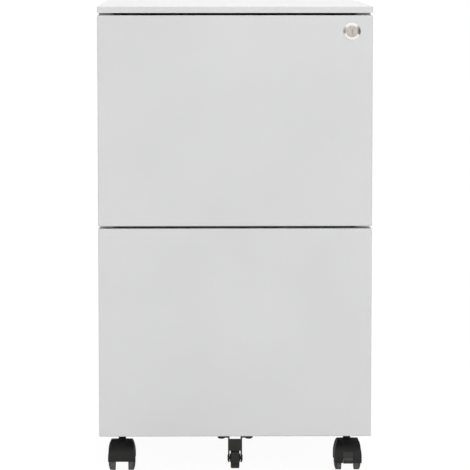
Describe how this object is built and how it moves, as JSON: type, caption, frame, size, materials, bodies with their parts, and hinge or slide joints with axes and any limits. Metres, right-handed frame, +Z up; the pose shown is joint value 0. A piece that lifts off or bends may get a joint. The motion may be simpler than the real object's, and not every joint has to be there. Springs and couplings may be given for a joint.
{
  "type": "mobile filing cabinet",
  "caption": "Upright steel filing pedestal on swivel casters, with full-width overlay drawers on telescopic slides, a key lock and an anti-tip wheel.",
  "frame": {"origin": "floor level at the centre of the footprint", "axes": "+Z up, drawer fronts face -Y, +X to the right of someone facing the fronts"},
  "size_m": [0.39, 0.5024, 0.6717],
  "materials": {
    "powder_coat": "fine textured light grey powder coat",
    "slide_steel": "bright zinc-plated rolled steel",
    "zinc_steel": "zinc-plated sheet steel",
    "bolt_steel": "plain plated fastener steel",
    "ball_steel": "polished ball steel in plated cages",
    "lock_chrome": "polished chrome",
    "lock_nickel": "satin nickel",
    "black_steel": "black oxide with a satin sheen",
    "black_nylon": "moulded satin black nylon",
    "lever_nylon": "moulded dark grey nylon",
    "wheel_nylon": "moulded black nylon with a greyer tread",
    "rubber": "soft matte rubber"
  },
  "bodies": {
    "cabinet": {"top_panel": "powder_coat", "left_side_panel": "powder_coat", "right_side_panel": "powder_coat", "back_panel": "powder_coat", "base_panel": "powder_coat", "rear_uprights": "zinc_steel", "drawer_bumpers": "rubber", "upper_slide_outers": "slide_steel", "lower_slide_outers": "slide_steel", "lock_bar_guides": "black_nylon", "caster_fixings": "black_steel"},
    "lock_bar": {"lock_bar": "zinc_steel"},
    "upper_drawer": {"upper_drawer_front": "powder_coat", "upper_drawer_liner": "powder_coat", "upper_drawer_tub": "powder_coat", "upper_drawer_back": "powder_coat", "upper_hanging_rails": "zinc_steel", "upper_drawer_screws": "bolt_steel", "upper_slide_inners": "slide_steel", "upper_lock_catch": "zinc_steel", "lock_housing": "lock_chrome", "lock_nut": "bolt_steel"},
    "upper_slide_middle": {"upper_slide_middles": "slide_steel"},
    "upper_outer_cage": {"upper_outer_ball_cages": "ball_steel"},
    "upper_inner_cage": {"upper_inner_ball_cages": "ball_steel"},
    "lower_drawer": {"lower_drawer_front": "powder_coat", "lower_drawer_liner": "powder_coat", "lower_drawer_tub": "powder_coat", "lower_drawer_back": "powder_coat", "lower_hanging_rails": "zinc_steel", "lower_drawer_screws": "bolt_steel", "lower_slide_inners": "slide_steel", "lower_lock_catch": "zinc_steel", "anti_tip_bracket": "black_steel", "anti_tip_fasteners": "black_steel"},
    "lower_slide_middle": {"lower_slide_middles": "slide_steel"},
    "lower_outer_cage": {"lower_outer_ball_cages": "ball_steel"},
    "lower_inner_cage": {"lower_inner_ball_cages": "ball_steel"},
    "lock_key_plug": {"lock_plug": "lock_nickel", "lock_cam": "zinc_steel", "cam_screw": "bolt_steel"},
    "anti_tip_wheel": {"anti_tip_wheel": "black_nylon"},
    "front_left_swivel": {"front_left_caster_hood": "black_nylon", "front_left_caster_axle": "bolt_steel"},
    "front_left_left_wheel": {"front_left_left_wheel": "wheel_nylon"},
    "front_left_right_wheel": {"front_left_right_wheel": "wheel_nylon"},
    "front_right_swivel": {"front_right_caster_hood": "black_nylon", "front_right_caster_axle": "bolt_steel"},
    "front_right_left_wheel": {"front_right_left_wheel": "wheel_nylon"},
    "front_right_right_wheel": {"front_right_right_wheel": "wheel_nylon"},
    "front_right_brake_lever": {"front_right_brake_lever": "lever_nylon"},
    "rear_left_swivel": {"rear_left_caster_hood": "black_nylon", "rear_left_caster_axle": "bolt_steel"},
    "rear_left_left_wheel": {"rear_left_left_wheel": "wheel_nylon"},
    "rear_left_right_wheel": {"rear_left_right_wheel": "wheel_nylon"},
    "rear_left_brake_lever": {"rear_left_brake_lever": "lever_nylon"},
    "rear_right_swivel": {"rear_right_caster_hood": "black_nylon", "rear_right_caster_axle": "bolt_steel"},
    "rear_right_left_wheel": {"rear_right_left_wheel": "wheel_nylon"},
    "rear_right_right_wheel": {"rear_right_right_wheel": "wheel_nylon"}
  },
  "joints": [
    {"name": "upper_drawer_slide", "type": "slide", "parent": "cabinet", "child": "upper_drawer", "axis": [0, -1, 0], "range_m": [0, 0.4]},
    {"name": "upper_slide_middle_travel", "type": "slide", "parent": "cabinet", "child": "upper_slide_middle", "axis": [0, -1, 0], "range_m": [0, 0.2]},
    {"name": "upper_outer_cage_travel", "type": "slide", "parent": "cabinet", "child": "upper_outer_cage", "axis": [0, -1, 0], "range_m": [0, 0.1]},
    {"name": "upper_inner_cage_travel", "type": "slide", "parent": "cabinet", "child": "upper_inner_cage", "axis": [0, -1, 0], "range_m": [0, 0.3]},
    {"name": "lower_drawer_slide", "type": "slide", "parent": "cabinet", "child": "lower_drawer", "axis": [0, -1, 0], "range_m": [0, 0.4]},
    {"name": "lower_slide_middle_travel", "type": "slide", "parent": "cabinet", "child": "lower_slide_middle", "axis": [0, -1, 0], "range_m": [0, 0.2]},
    {"name": "lower_outer_cage_travel", "type": "slide", "parent": "cabinet", "child": "lower_outer_cage", "axis": [0, -1, 0], "range_m": [0, 0.1]},
    {"name": "lower_inner_cage_travel", "type": "slide", "parent": "cabinet", "child": "lower_inner_cage", "axis": [0, -1, 0], "range_m": [0, 0.3]},
    {"name": "lock_key_turn", "type": "hinge", "parent": "upper_drawer", "child": "lock_key_plug", "pos_m": [0.1653, -0.2488, 0.6362], "axis": [0, 1, 0], "range_deg": [0, 90]},
    {"name": "lock_bar_lift", "type": "slide", "parent": "cabinet", "child": "lock_bar", "axis": [0, 0, 1], "range_m": [0, 0.012]},
    {"name": "anti_tip_spin", "type": "hinge", "parent": "lower_drawer", "child": "anti_tip_wheel", "pos_m": [0, -0.2358, 0.0231], "axis": [1, 0, 0], "continuous": true},
    {"name": "front_left_swivel_turn", "type": "hinge", "parent": "cabinet", "child": "front_left_swivel", "pos_m": [-0.1634, -0.1858, 0.05], "axis": [0, 0, 1], "continuous": true},
    {"name": "front_left_left_spin", "type": "hinge", "parent": "front_left_swivel", "child": "front_left_left_wheel", "pos_m": [-0.1634, -0.2038, 0.021], "axis": [1, 0, 0], "continuous": true},
    {"name": "front_left_right_spin", "type": "hinge", "parent": "front_left_swivel", "child": "front_left_right_wheel", "pos_m": [-0.1634, -0.2038, 0.021], "axis": [1, 0, 0], "continuous": true},
    {"name": "front_right_swivel_turn", "type": "hinge", "parent": "cabinet", "child": "front_right_swivel", "pos_m": [0.1634, -0.1858, 0.05], "axis": [0, 0, 1], "continuous": true},
    {"name": "front_right_left_spin", "type": "hinge", "parent": "front_right_swivel", "child": "front_right_left_wheel", "pos_m": [0.1634, -0.2038, 0.021], "axis": [1, 0, 0], "continuous": true},
    {"name": "front_right_right_spin", "type": "hinge", "parent": "front_right_swivel", "child": "front_right_right_wheel", "pos_m": [0.1634, -0.2038, 0.021], "axis": [1, 0, 0], "continuous": true},
    {"name": "front_right_brake_press", "type": "hinge", "parent": "front_right_swivel", "child": "front_right_brake_lever", "pos_m": [0.1634, -0.2038, 0.021], "axis": [1, 0, 0], "range_deg": [0, 15]},
    {"name": "rear_left_swivel_turn", "type": "hinge", "parent": "cabinet", "child": "rear_left_swivel", "pos_m": [-0.1634, 0.2052, 0.05], "axis": [0, 0, 1], "continuous": true},
    {"name": "rear_left_left_spin", "type": "hinge", "parent": "rear_left_swivel", "child": "rear_left_left_wheel", "pos_m": [-0.1634, 0.1872, 0.021], "axis": [1, 0, 0], "continuous": true},
    {"name": "rear_left_right_spin", "type": "hinge", "parent": "rear_left_swivel", "child": "rear_left_right_wheel", "pos_m": [-0.1634, 0.1872, 0.021], "axis": [1, 0, 0], "continuous": true},
    {"name": "rear_left_brake_press", "type": "hinge", "parent": "rear_left_swivel", "child": "rear_left_brake_lever", "pos_m": [-0.1634, 0.1872, 0.021], "axis": [1, 0, 0], "range_deg": [0, 15]},
    {"name": "rear_right_swivel_turn", "type": "hinge", "parent": "cabinet", "child": "rear_right_swivel", "pos_m": [0.1634, 0.2052, 0.05], "axis": [0, 0, 1], "continuous": true},
    {"name": "rear_right_left_spin", "type": "hinge", "parent": "rear_right_swivel", "child": "rear_right_left_wheel", "pos_m": [0.1634, 0.1872, 0.021], "axis": [1, 0, 0], "continuous": true},
    {"name": "rear_right_right_spin", "type": "hinge", "parent": "rear_right_swivel", "child": "rear_right_right_wheel", "pos_m": [0.1634, 0.1872, 0.021], "axis": [1, 0, 0], "continuous": true}
  ],
  "couplings": [
    {"joint": "upper_slide_middle_travel", "follows": "upper_drawer_slide", "ratio": 0.5},
    {"joint": "upper_outer_cage_travel", "follows": "upper_drawer_slide", "ratio": 0.25},
    {"joint": "upper_inner_cage_travel", "follows": "upper_drawer_slide", "ratio": 0.75},
    {"joint": "lower_slide_middle_travel", "follows": "lower_drawer_slide", "ratio": 0.5},
    {"joint": "lower_outer_cage_travel", "follows": "lower_drawer_slide", "ratio": 0.25},
    {"joint": "lower_inner_cage_travel", "follows": "lower_drawer_slide", "ratio": 0.75},
    {"joint": "lock_key_turn", "follows": "lock_bar_lift", "rad_per_m": 130.89}
  ]
}
